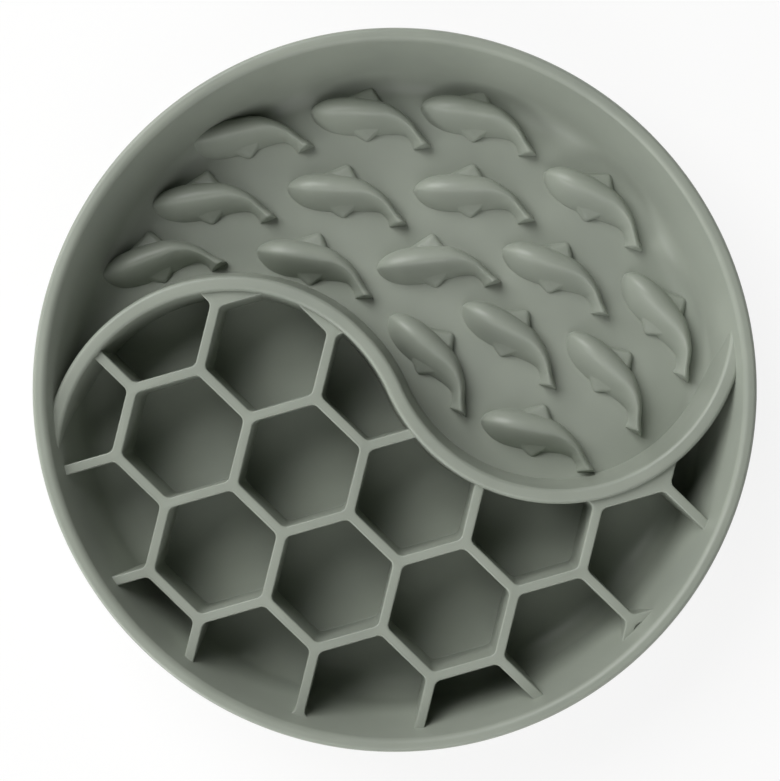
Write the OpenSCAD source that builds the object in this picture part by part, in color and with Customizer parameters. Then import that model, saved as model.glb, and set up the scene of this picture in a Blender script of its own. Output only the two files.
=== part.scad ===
// Round slow feeder bowl, moulded in silicone.
// An S-shaped wall parts a raised tray with a shoal of fish from a honeycomb of deep cells.
// The bowl stands on z = 0 with its middle on the z axis. Lengths are in millimetres.

/* [Bowl] */
// Diameter over the rim
bowl_d = 200; // [180:1:240]
// Height from the table to the rim
bowl_h = 38; // [34:0.5:50]
// Width of the top of the rim
rim_w = 3.9; // [3:0.1:6]
// Rounding of the two edges of the rim
rim_round = 1.2; // [0.4:0.1:1.8]
// Lean of the wall away from upright, in degrees
wall_lean = 15; // [10:0.5:20]
// Thickness of the floor under the cells
floor_t = 3.5; // [2.5:0.1:5]
// Radius of the hollow corner between wall and floor
corner_r = 8; // [4:0.5:10]

/* [Foot] */
// Height of the ring that the bowl stands on
foot_h = 2.5; // [1:0.1:4]
// Width of that ring
foot_w = 6; // [3:0.5:12]
// Distance of the ring from the edge of the base plate
foot_inset = 3; // [1:0.5:10]

/* [Divider] */
// Turn of the whole pattern inside the bowl, in degrees
swirl_turn = 24; // [-180:1:180]
// Thickness of the divider at its top
divider_t = 4.1; // [2.4:0.1:6]
// Lean of the divider's face towards the honeycomb, in degrees
divider_lean = 2; // [0.5:0.5:5]
// Lean of the divider's face towards the fish, in degrees
fish_lean = 5.5; // [0.5:0.5:7]
// Distance of the top of the divider below the rim
divider_drop = 5; // [2:0.5:8]
// Rounding of the two top edges of the divider
divider_round = 1.2; // [0.4:0.1:1.5]

/* [Honeycomb] */
// Distance between the middles of neighbouring cells
cell_pitch = 33.5; // [24:0.5:44]
// Thickness of the ribs between the cells
rib_t = 2.8; // [2:0.1:5]
// Rounding of the upright corners of a cell
cell_round = 2.2; // [1:0.1:5]
// Distance of the top of the ribs below the rim
grid_drop = 7; // [4:0.5:12]
// Turn of the rows of cells against the divider, in degrees
comb_turn = 22; // [0:0.5:60]
// Place of one cell along the divider's axis
comb_x = -33; // [-60:0.5:0]
// Place of the same cell across the divider's axis
comb_y = -8.5; // [-40:0.5:20]
// Length of the open tip of the honeycomb's half, beside the end of the divider
tip_room = 22; // [16:0.5:28]

/* [Fish tray] */
// Height of the tray above the floor of the cells
tray_rise = 5.5; // [3:0.5:9]

/* [Fish] */
// Part of the spacing along a row that a fish leaves free
fish_gap = 4; // [3:0.5:8]
// Width of a fish over its body
fish_w = 10.8; // [8:0.1:12]
// Height of a fish above the tray
fish_h = 8; // [5:0.1:11]
// Bend of the tail towards the belly, in degrees
tail_bend = 51; // [20:1:60]
// Skew of the cut at the end of the tail, in degrees
tail_skew = 30; // [0:1:40]
// Reach of the back fin beyond the body
back_fin = 2.7; // [1:0.1:4]
// Reach of the belly fin beyond the body
belly_fin = 2; // [1:0.1:3]
// Height of the fins above the tray
fin_h = 3.4; // [2:0.1:6]

/* [Hidden] */
$fn = 96;
sage = "#98A091";
sage_dark = "#868F80";
sage_light = "#A5AB9C";

bowl_r = bowl_d / 2;
under_z = foot_h;
floor_z = foot_h + floor_t;
tray_z = floor_z + tray_rise;
grid_top = bowl_h - grid_drop;
divider_top = bowl_h - divider_drop;
// Shapes that are cut to the floor start this far below it
cut_margin = 1;
root_z = floor_z - cut_margin;

// Run of a rounding along each side of the corner between the wall and a floor, per unit of radius
corner_run = tan((90 - wall_lean) / 2);
// Run of the same rounding at the sharp outer edge of the rim
rim_run = 1 / corner_run;
// Two roundings on one top leave at least a little flat between them
round_limit = 0.95;
rim_edge = min(rim_round, round_limit * rim_w / (corner_run + rim_run));
// The rounded rim reaches bowl_r, so its faces would meet a little further out
outer_top_r = bowl_r + rim_edge * (rim_run - 1);
inner_top_r = outer_top_r - rim_w;
outer_corner_r = corner_r + floor_t;
// Straight steps that make up a curved corner and a rounded edge in section
corner_steps = 8;
edge_steps = 6;

// Radius at height z of a leaning wall that reaches top_r at the rim
function lean_r(top_r, z) = top_r - (bowl_h - z) * tan(wall_lean);
// Radius of the flat part of a floor at height z inside such a wall
function flat_r(top_r, z, corner) = lean_r(top_r, z) - corner * corner_run;
// Points of an arc of radius r around a point, from one angle to another
function arc(at, r, from, to, steps) =
    [for (k = [0 : steps]) let (angle = from + (to - from) * k / steps) at + r * [cos(angle), sin(angle)]];
// Curve of the corner between a leaning wall that reaches top_r at the rim and its floor at height z
function corner_arc(top_r, z, corner) =
    arc([flat_r(top_r, z, corner), z + corner], corner, -90, -wall_lean, corner_steps);

// The plate ends inside both the inner and the outer curve of the corner
plate_seam = 2;
floor_flat_r = flat_r(inner_top_r, floor_z, corner_r);
under_flat_r = flat_r(outer_top_r, under_z, outer_corner_r);
plate_r = min(floor_flat_r, under_flat_r) - plate_seam;
foot_r = plate_r - foot_inset;
tray_flat_r = flat_r(inner_top_r, tray_z, corner_r);

// The tray's cove stops where it has thinned to this much against the wall
feather_t = 0.2;
feather_angle = acos(1 - feather_t / corner_r);
cove_top = tray_z + corner_r - corner_r * sin(wall_lean + feather_angle);

// The divider is two half circles, each half as wide as the bowl
arc_r = bowl_r / 2;
left_lobe = [-arc_r, 0];
right_lobe = [arc_r, 0];
divider_run = tan((90 - min(divider_lean, fish_lean)) / 2);
divider_edge = min(divider_round, round_limit * divider_t / 2 / divider_run);
// Half thickness of the divider at its foot on a side that leans, and the place of that side's top rounding
function divider_foot(lean) = divider_t / 2 + (divider_top - root_z) * tan(lean);
function divider_edge_x(lean) = divider_t / 2 - divider_edge * tan((90 - lean) / 2);

// Cells of the honeycomb
cell_apothem = (cell_pitch - rib_t) / 2;
cell_reach = cell_apothem / cos(30);
cell_rings = ceil(bowl_d / cell_pitch) + 1;
// A cell whose middle lies further than this beyond the divider's line would be a slit, so it is left out
cell_beyond = cell_apothem / 2;
// Straight steps that make up the rounding of a cell's corner
cell_steps = 4;
// The tip of the honeycomb's half, where the divider's face meets the wall at the height of the ribs
tip_r = lean_r(inner_top_r, grid_top);
tip_x = (tip_r * tip_r - pow(arc_r + divider_t / 2, 2) + arc_r * arc_r) / (2 * arc_r);
comb_tip = [tip_x, -sqrt(max(0, tip_r * tip_r - tip_x * tip_x))];

// The shoal fills the tray: spacing along a row as a share of the tray's flat radius
shoal_step = 0.48;
// Nose of each fish from the middle of the bowl, in tray radii along and across the divider's axis,
// and its turn in degrees
shoal = [
    [-0.31, 1.05, -10], [0.12, 0.985, -26], [0.475, 0.85, -33],
    [-0.51, 0.91, -15], [-0.06, 0.78, -27], [0.335, 0.595, -24], [0.77, 0.47, -49],
    [-0.765, 0.755, -3], [-0.245, 0.625, -32], [0.11, 0.4, -16], [0.53, 0.285, -42], [0.88, 0.04, -70],
    [0.08, 0.235, -63], [0.325, 0.165, -52], [0.62, -0.07, -65],
    [0.225, -0.22, -35]
];

// A fish along its own length: share of the length, of the half width towards its back and towards its
// belly, and of the height
fish_len = shoal_step * tray_flat_r - fish_gap;
fish_form = [
    [0.00, 0.22, 0.22, 0.30],
    [0.04, 0.51, 0.51, 0.56],
    [0.09, 0.75, 0.75, 0.76],
    [0.18, 0.92, 0.92, 0.93],
    [0.31, 1.00, 1.00, 1.00],
    [0.45, 0.94, 0.98, 0.98],
    [0.58, 0.80, 0.92, 0.93],
    [0.68, 0.54, 0.82, 0.86],
    [0.77, 0.42, 0.60, 0.77],
    [0.84, 0.36, 0.39, 0.70],
    [0.92, 0.33, 0.33, 0.64],
    [1.00, 0.45, 0.45, 0.62]
];
// The spine is straight up to the first share of the length and bends up to the second
bend_span = [0.58, 0.85];
bend_r = (bend_span[1] - bend_span[0]) * fish_len / (tail_bend * PI / 180);
// The arch over the spine: steps across it, and powers that swell its flanks and draw in its ridge
arch_steps = 10;
arch_powers = [1.45, 0.82];
// Fins: share of the length at the front, the tip and the back, and of the half width at the root
back_fin_at = [0.22, 0.50, 0.55];
belly_fin_at = [0.27, 0.46, 0.52];
fin_root_share = 0.5;
fish_half = fish_w / 2 + max(back_fin, belly_fin);

function fish_name(i) = str("fish_", i < 9 ? "0" : "", i + 1);

// Filled half section of the room inside the bowl, from a floor at height z to the rim
module room_section(z) {
    polygon(concat([[0, z]], corner_arc(inner_top_r, z, corner_r), [[inner_top_r, bowl_h], [0, bowl_h]]));
}

// The room inside the bowl above a floor at height z
module room_above(z) {
    rotate_extrude() room_section(z);
}

module outer_wall() {
    edge_z = bowl_h - rim_edge;
    color(sage) rotate_extrude() polygon(concat(
        [[plate_r, under_z]],
        corner_arc(outer_top_r, under_z, outer_corner_r),
        arc([bowl_r - rim_edge, edge_z], rim_edge, -wall_lean, 90, edge_steps),
        arc([inner_top_r + rim_edge * corner_run, edge_z], rim_edge, 90, 180 - wall_lean, edge_steps),
        [for (k = [corner_steps : -1 : 0]) corner_arc(inner_top_r, floor_z, corner_r)[k]],
        [[plate_r, floor_z]]
    ));
}

module base_plate() {
    color(sage_dark) translate([0, 0, under_z]) cylinder(h = floor_t, r = plate_r);
}

module foot_ring() {
    color(sage_dark) rotate_extrude() translate([foot_r - foot_w, 0]) square([foot_w, foot_h]);
}

// Section of the divider, upright on its centre line, with the leans of its two faces
module divider_section(inner, outer) {
    edge_z = divider_top - divider_edge;
    polygon(concat(
        [[-divider_foot(inner), root_z], [divider_foot(outer), root_z]],
        arc([divider_edge_x(outer), edge_z], divider_edge, outer, 90, edge_steps),
        arc([-divider_edge_x(inner), edge_z], divider_edge, 90, 180 - inner, edge_steps)
    ));
}

// The two half circles of the divider at full length, running on into the wall
module divider_arcs() {
    translate(left_lobe) rotate_extrude(angle = 180)
        translate([arc_r, 0]) divider_section(divider_lean, fish_lean);
    translate(right_lobe) rotate(180) rotate_extrude(angle = 180)
        translate([arc_r, 0]) divider_section(fish_lean, divider_lean);
}

module s_divider() {
    color(sage_light) rotate(swirl_turn) intersection() {
        divider_arcs();
        room_above(floor_z);
    }
}

// Plan of the honeycomb's half, up to the divider's centre line
module comb_side() {
    difference() {
        union() {
            translate([-bowl_r, -bowl_r]) square([bowl_d, bowl_r]);
            translate(left_lobe) circle(arc_r);
        }
        translate(right_lobe) circle(arc_r);
    }
}

// Plan of the fish's half, up to the same line
module fish_side() {
    difference() {
        union() {
            translate([-bowl_r, 0]) square([bowl_d, bowl_r]);
            translate(right_lobe) circle(arc_r);
        }
        translate(left_lobe) circle(arc_r);
    }
}

module fish_tray() {
    color(sage_dark) rotate(swirl_turn) difference() {
        intersection() {
            rotate_extrude() difference() {
                room_section(floor_z);
                room_section(tray_z);
                translate([0, cove_top]) square([bowl_r, bowl_h]);
            }
            translate([0, 0, root_z]) linear_extrude(bowl_h) fish_side();
        }
        divider_arcs();
    }
}

// Plan of one cell, a hexagon with rounded corners
module cell_plan() {
    corner_at = (cell_apothem - cell_round) / cos(30);
    polygon([for (side = [0 : 60 : 300]) each
        arc(corner_at * [cos(side + 30), sin(side + 30)], cell_round, side, side + 60, cell_steps)
    ]);
}

// Middle of the cell i steps along one row and j rows up
function cell_at(i, j) = [
    comb_x + cell_pitch * (i * cos(comb_turn) + j * cos(comb_turn + 60)),
    comb_y + cell_pitch * (i * sin(comb_turn) + j * sin(comb_turn + 60))
];

// Whether a cell there reaches well into the honeycomb's half of the bowl
function cell_counts(at) =
    norm(at) < lean_r(inner_top_r, grid_top) + cell_reach
    && norm(at - right_lobe) > arc_r - cell_beyond
    && (at.y < cell_beyond || norm(at - left_lobe) < arc_r + cell_beyond);

module honeycomb_grid() {
    color(sage) rotate(swirl_turn) difference() {
        intersection() {
            translate([0, 0, root_z]) linear_extrude(grid_top - root_z) difference() {
                comb_side();
                for (i = [-cell_rings : cell_rings], j = [-cell_rings : cell_rings])
                    if (cell_counts(cell_at(i, j))) translate(cell_at(i, j)) rotate(comb_turn) cell_plan();
                translate(comb_tip) circle(tip_room);
            }
            room_above(floor_z);
        }
        divider_arcs();
    }
}

// Heading of a fish's spine at a share s of its length, and the place of that point from the nose
function spine_turn(s) = -tail_bend * min(1, max(0, (s - bend_span[0]) / (bend_span[1] - bend_span[0])));
function spine_at(s) =
    let (straight = min(s, bend_span[0]) * fish_len)
    let (turn = -spine_turn(s))
    let (tail = max(0, s - bend_span[1]) * fish_len)
    [
        straight + bend_r * sin(turn) + tail * cos(turn),
        -bend_r * (1 - cos(turn)) - tail * sin(turn)
    ];

// Heading of the section across the spine, which is askew towards the end of the tail
function section_turn(s) = spine_turn(s) - tail_skew * max(0, s - bend_span[1]) / (1 - bend_span[1]);

// Point k of the arch over the spine at one row of the form, standing on z = 0
function arch_point(row, k) =
    let (across = -cos(180 * k / arch_steps))
    let (side = across * (across > 0 ? row[1] : row[2]) * fish_w / 2)
    let (turn = section_turn(row[0]))
    [
        spine_at(row[0]).x - side * sin(turn),
        spine_at(row[0]).y + side * cos(turn),
        row[3] * fish_h * pow(1 - pow(abs(across), arch_powers[0]), arch_powers[1])
    ];

// Body of a fish with its nose at the origin, its tail along x and its back along y
module fish_body(sink) {
    rows = len(fish_form);
    // Each row has its arch and, where the body is carried down by sink, two lower corners
    ring = arch_steps + (sink > 0 ? 3 : 1);
    points = [for (row = fish_form) each concat(
        [for (k = [0 : arch_steps]) arch_point(row, k)],
        sink > 0 ? [arch_point(row, arch_steps) - [0, 0, sink], arch_point(row, 0) - [0, 0, sink]] : []
    )];
    sides = [for (r = [0 : rows - 2], k = [0 : ring - 1]) each let (n = (k + 1) % ring) [
        [r * ring + k, r * ring + n, (r + 1) * ring + n],
        [r * ring + k, (r + 1) * ring + n, (r + 1) * ring + k]
    ]];
    nose = [[for (k = [ring - 1 : -1 : 0]) k]];
    tail = [[for (k = [0 : ring - 1]) (rows - 1) * ring + k]];
    polyhedron(points, concat(sides, nose, tail), convexity = 4);
}

// A flat-topped fin that stands out to one side of the body
module fin(at, reach, side, sink) {
    root = side * fin_root_share * fish_w / 2;
    translate([0, 0, -sink]) linear_extrude(fin_h + sink) polygon([
        [at[0] * fish_len, root],
        [at[1] * fish_len, side * (fish_w / 2 + reach)],
        [at[2] * fish_len, root]
    ]);
}

module fish_shape(sink) {
    fish_body(sink);
    fin(back_fin_at, back_fin, 1, sink);
    fin(belly_fin_at, belly_fin, -1, sink);
}

// Nose of fish i, and points along its spine, in the turned frame of the pattern
function nose_at(i) = tray_flat_r * [shoal[i].x, shoal[i].y];
function turned(p, angle) = [p.x * cos(angle) - p.y * sin(angle), p.x * sin(angle) + p.y * cos(angle)];
function spine_points(i) = [for (s = [0 : 0.05 : 1]) nose_at(i) + turned(spine_at(s), shoal[i][2])];
// Whether fish i reaches the cove at the wall, or the foot of the divider
function meets_wall(i) = max([for (p = spine_points(i)) norm(p)]) + fish_half > tray_flat_r;
function meets_divider(i) = min([for (p = spine_points(i), lobe = [left_lobe, right_lobe])
    abs(norm(p - lobe) - arc_r)]) < fish_half + divider_foot(fish_lean);

module fish(i) {
    sink = meets_wall(i) ? cut_margin : 0;
    color(sage_light) rotate(swirl_turn) difference() {
        intersection() {
            translate([nose_at(i).x, nose_at(i).y, tray_z]) rotate(shoal[i][2]) fish_shape(sink);
            if (meets_wall(i)) room_above(tray_z);
        }
        if (meets_divider(i)) divider_arcs();
    }
}

outer_wall();
base_plate();
foot_ring();
fish_tray();
s_divider();
honeycomb_grid();
for (i = [0 : len(shoal) - 1])
    fish(i);
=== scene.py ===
"""Slow feeder bowl: one matt silicone moulding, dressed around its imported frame.

An S-shaped divider parts a raised tray with a shoal of fish from a honeycomb of deep cells. Sizes
are in millimetres and degrees, as in the CAD, and meshes are in metres. The bowl stands on z = 0
with its middle on the z axis.
"""

import logging
import math
from dataclasses import dataclass, field
from enum import Enum
from typing import Any, Mapping, Sequence

import bmesh
import bpy
import numpy as np
from bpy.types import GeometryNodeTree, Material, Mesh, Node, NodeOutputs, NodeSocket, NodeTree, Object
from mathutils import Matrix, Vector


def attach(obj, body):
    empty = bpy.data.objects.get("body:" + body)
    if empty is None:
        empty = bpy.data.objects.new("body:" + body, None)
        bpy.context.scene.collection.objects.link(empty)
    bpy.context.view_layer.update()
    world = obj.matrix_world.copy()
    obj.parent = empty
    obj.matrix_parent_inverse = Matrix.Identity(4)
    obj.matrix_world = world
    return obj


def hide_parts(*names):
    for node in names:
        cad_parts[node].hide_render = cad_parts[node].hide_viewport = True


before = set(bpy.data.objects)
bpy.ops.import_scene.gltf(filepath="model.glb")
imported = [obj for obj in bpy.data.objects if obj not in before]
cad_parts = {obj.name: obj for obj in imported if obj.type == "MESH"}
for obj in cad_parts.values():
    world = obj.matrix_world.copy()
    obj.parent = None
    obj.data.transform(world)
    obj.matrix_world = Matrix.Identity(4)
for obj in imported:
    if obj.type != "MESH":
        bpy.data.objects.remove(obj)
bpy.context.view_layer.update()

LOG = logging.getLogger("slow_feeder_bowl")
MM = 0.001
BODY = "root"
# Steeper edges than this stay crisp under smooth shading
CRISP_EDGE = math.radians(42.0)
# Edges shorter than this, in metres, are slivers that a cut left
SLIVER = 5e-6


class Half(Enum):
    """The two halves that the S-shaped divider parts, as the side of it on which they lie."""

    COMB = 1.0
    FISH = -1.0


def linear(code: str) -> tuple[float, float, float, float]:
    """Turns an sRGB hex colour into the linear colour that a shader takes.

    Args:
        code: The colour as six hex digits after a hash sign.

    Returns:
        Linear red, green and blue, and full opacity.
    """
    parts = [int(code[i:i + 2], 16) / 255.0 for i in (1, 3, 5)]
    levels = [p / 12.92 if p <= 0.04045 else ((p + 0.055) / 1.055) ** 2.4 for p in parts]
    return (levels[0], levels[1], levels[2], 1.0)


def add_node(
    tree: NodeTree,
    kind: str,
    settings: Mapping[str, Any] | None = None,
    inputs: Mapping[str | int, Any] | None = None,
) -> Node:
    """Adds a node to a tree, with its settings, its values and its links.

    Args:
        tree: The tree that takes the node.
        kind: Blender's name for the kind of node.
        settings: Properties of the node by name.
        inputs: For an input's name or number, the socket that feeds it or the value that it holds.

    Returns:
        The new node.
    """
    node = tree.nodes.new(kind)
    for name, value in (settings or {}).items():
        setattr(node, name, value)
    for key, value in (inputs or {}).items():
        if isinstance(value, NodeSocket):
            tree.links.new(value, node.inputs[key])
        else:
            node.inputs[key].default_value = value
    return node


def calc(tree: NodeTree, operation: str, *values: Any) -> NodeSocket:
    """Adds a math node that takes sockets or numbers, and gives the socket with its result."""
    return add_node(tree, "ShaderNodeMath", {"operation": operation}, dict(enumerate(values))).outputs[0]


def mesh_object(name: str, points: np.ndarray, faces: Sequence[Sequence[int]]) -> Object:
    """Makes a closed, smooth object from points in millimetres.

    Args:
        name: The object's name.
        points: One row of x, y and z for each point.
        faces: The points of each face by number, turned either way.

    Returns:
        An object at the origin whose faces point outwards.
    """
    mesh = bpy.data.meshes.new(name)
    mesh.from_pydata((np.asarray(points) * MM).tolist(), [], [list(f) for f in faces])
    draft = bmesh.new()
    draft.from_mesh(mesh)
    bmesh.ops.recalc_face_normals(draft, faces=draft.faces)
    draft.to_mesh(mesh)
    draft.free()
    shade(mesh)
    made = bpy.data.objects.new(name, mesh)
    bpy.context.scene.collection.objects.link(made)
    return made


def shade(mesh: Mesh) -> None:
    """Shades a mesh smooth, apart from its crisp edges."""
    mesh.shade_smooth()
    mesh.set_sharp_from_angle(angle=CRISP_EDGE)


def clean(mesh: Mesh) -> None:
    """Dissolves the slivers that a cut can leave in a mesh."""
    draft = bmesh.new()
    draft.from_mesh(mesh)
    bmesh.ops.dissolve_degenerate(draft, dist=SLIVER, edges=draft.edges)
    draft.to_mesh(mesh)
    draft.free()


def discard(*objects: Object) -> None:
    """Removes helper objects that are not pieces of the bowl."""
    for helper in objects:
        bpy.data.objects.remove(helper)


def loft(rings: Sequence[np.ndarray]) -> tuple[np.ndarray, list[list[int]]]:
    """Skins a row of closed rings that all have the same number of points, and caps both ends.

    Args:
        rings: Points of each ring, in millimetres.

    Returns:
        The points and the faces.
    """
    count = len(rings[0])
    faces = [list(range(count)), [(len(rings) - 1) * count + i for i in range(count)]]
    for row in range(len(rings) - 1):
        for i in range(count):
            j = (i + 1) % count
            faces.append([row * count + i, row * count + j, (row + 1) * count + j, (row + 1) * count + i])
    return np.vstack(rings), faces


def revolve(section: np.ndarray, segments: int) -> tuple[np.ndarray, list[list[int]]]:
    """Turns a half section, which starts and ends on the axis, into a solid of revolution.

    Args:
        section: Rows of radius and height.
        segments: Steps around the axis.

    Returns:
        The points and the faces.
    """
    turns = np.linspace(0.0, 2.0 * math.pi, segments, endpoint=False)
    rings = [
        np.column_stack([r * np.cos(turns), r * np.sin(turns), np.full(segments, z)])
        for r, z in section[1:-1]
    ]
    points, faces = loft(rings)
    ends = [[0.0, 0.0, section[0][1]], [0.0, 0.0, section[-1][1]]]
    first, last = len(points), len(points) + 1
    top = (len(rings) - 1) * segments
    fans = []
    for i in range(segments):
        j = (i + 1) % segments
        fans += [[first, i, j], [last, top + i, top + j]]
    return np.vstack([points, ends]), faces[2:] + fans


def arc(middle: Sequence[float], radius: float, start: float, end: float, steps: int) -> np.ndarray:
    """Gives points along an arc.

    Args:
        middle: The arc's centre.
        radius: Its radius.
        start: Angle of its first point, in degrees.
        end: Angle of its last point, in degrees.
        steps: Straight steps in it.

    Returns:
        One row of two coordinates for each point.
    """
    angles = np.radians(np.linspace(start, end, steps + 1))
    return np.column_stack([middle[0] + radius * np.cos(angles), middle[1] + radius * np.sin(angles)])


def turned(points: np.ndarray, angle: float) -> np.ndarray:
    """Turns points in plan about the z axis.

    Args:
        points: Rows whose first two columns are x and y.
        angle: The turn in degrees.

    Returns:
        The turned rows.
    """
    c, s = math.cos(math.radians(angle)), math.sin(math.radians(angle))
    made = np.array(points, float)
    made[:, 0], made[:, 1] = points[:, 0] * c - points[:, 1] * s, points[:, 0] * s + points[:, 1] * c
    return made


@dataclass(frozen=True)
class BowlPlan:
    """Sizes that the parts of the bowl share."""

    bowl_d: float = 200.0
    bowl_h: float = 38.0
    rim_w: float = 3.9
    rim_round: float = 1.2
    wall_lean: float = 15.0
    floor_t: float = 3.5
    corner_r: float = 8.0
    foot_h: float = 2.5
    swirl_turn: float = 24.0
    divider_t: float = 4.1
    divider_lean: float = 2.0
    fish_lean: float = 5.5
    divider_drop: float = 5.0
    divider_round: float = 1.2
    grid_drop: float = 7.0
    tray_rise: float = 5.5
    # Pieces inside the bowl run this far into what carries them, so that no seam shows
    overlap: float = 1.0
    # Points of a half's plan on the wall before the divider, on each lobe and on the rest of the wall
    outline_points: tuple[int, int, int] = (16, 72, 220)

    @property
    def lobe_r(self) -> float:
        """Radius of each half circle of the divider."""
        return self.bowl_d / 4.0

    @property
    def slope(self) -> float:
        """Run of the leaning wall for each millimetre of height."""
        return math.tan(math.radians(self.wall_lean))

    @property
    def corner_run(self) -> float:
        """Run of a rounding along each side of the corner at the wall's foot, per unit of radius."""
        return math.tan(math.radians((90.0 - self.wall_lean) / 2.0))

    @property
    def outer_top_r(self) -> float:
        """Radius at which the outer face would meet the rim's top, were the rim not rounded."""
        return self.bowl_d / 2.0 + self.rim_round * (1.0 / self.corner_run - 1.0)

    @property
    def inner_top_r(self) -> float:
        """Radius at which the inner face would meet the rim's top."""
        return self.outer_top_r - self.rim_w

    @property
    def floor_z(self) -> float:
        """Height of the floor of the cells."""
        return self.foot_h + self.floor_t

    @property
    def root_z(self) -> float:
        """Height at which the pieces inside the bowl start, below the floor."""
        return self.floor_z - self.overlap

    @property
    def tray_z(self) -> float:
        """Height of the tray."""
        return self.floor_z + self.tray_rise

    @property
    def grid_top(self) -> float:
        """Height of the top of the ribs."""
        return self.bowl_h - self.grid_drop

    @property
    def divider_top(self) -> float:
        """Height of the top of the divider."""
        return self.bowl_h - self.divider_drop

    def flat_r(self, top_r: float, z: float, corner: float) -> float:
        """Gives the radius at which a floor at z turns up into a wall that reaches top_r at the rim."""
        return top_r - (self.bowl_h - z) * self.slope - corner * self.corner_run

    def corner_arc(self, top_r: float, z: float, corner: float, steps: int) -> np.ndarray:
        """Gives the section of such a corner from its floor to its wall, in rows of radius and height."""
        return arc((self.flat_r(top_r, z, corner), z + corner), corner, -90.0, -self.wall_lean, steps)

    def inner_section(self, steps: int) -> np.ndarray:
        """Gives the section of the room inside the bowl, from the edge of its floor to the rim."""
        corner = self.corner_arc(self.inner_top_r, self.floor_z, self.corner_r, steps)
        return np.vstack([corner, [[self.inner_top_r, self.bowl_h]]])

    def buried_section(self, top: float, steps: int = 12) -> np.ndarray:
        """Gives the same section a little inside the wall, from below the floor to a height.

        Args:
            top: Height at which it stops.
            steps: Straight steps in the corner.

        Returns:
            Rows of radius and height.
        """
        inner = self.inner_section(steps)
        heights = np.append(inner[:-1, 1][inner[:-1, 1] < top], top)
        radii = np.interp(heights, inner[:, 1], inner[:, 0]) + self.overlap
        return np.vstack([[radii[0], self.root_z], np.column_stack([radii, heights])])

    def half_outline(self, limit: float, half: Half) -> np.ndarray:
        """Gives the plan of one half of the bowl up to the divider's centre line.

        Args:
            limit: Radius of the circle around the bowl's axis that closes the plan.
            half: Which half it is.

        Returns:
            Rows of x and y, always the same number of them.
        """
        before, along, after = self.outline_points
        meet = math.acos(limit / (2.0 * self.lobe_r))
        lobe = np.linspace(meet, math.pi / 2.0, along)
        reach = 2.0 * self.lobe_r * np.cos(lobe)
        first = np.linspace(math.pi, math.pi - meet, before)[:-1]
        last = np.linspace(-meet, -math.pi, after)[1:-1]
        rows = [
            limit * np.column_stack([np.cos(first), np.sin(first)]),
            np.column_stack([-reach * np.cos(lobe), reach * np.sin(lobe)])[:-1],
            np.column_stack([reach * np.cos(lobe), -reach * np.sin(lobe)])[::-1],
            limit * np.column_stack([np.cos(last), np.sin(last)]),
        ]
        return turned(half.value * np.vstack(rows), self.swirl_turn)

    def half_block(self, section: np.ndarray, half: Half) -> tuple[np.ndarray, list[list[int]]]:
        """Skins a block that fills one half of the bowl.

        Args:
            section: Rows of radius and height that its outer edge follows.
            half: Which half it is.

        Returns:
            The points and the faces.
        """
        rings = []
        for r, z in section:
            plan = self.half_outline(r, half)
            rings.append(np.column_stack([plan, np.full(len(plan), z)]))
        return loft(rings)


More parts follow.
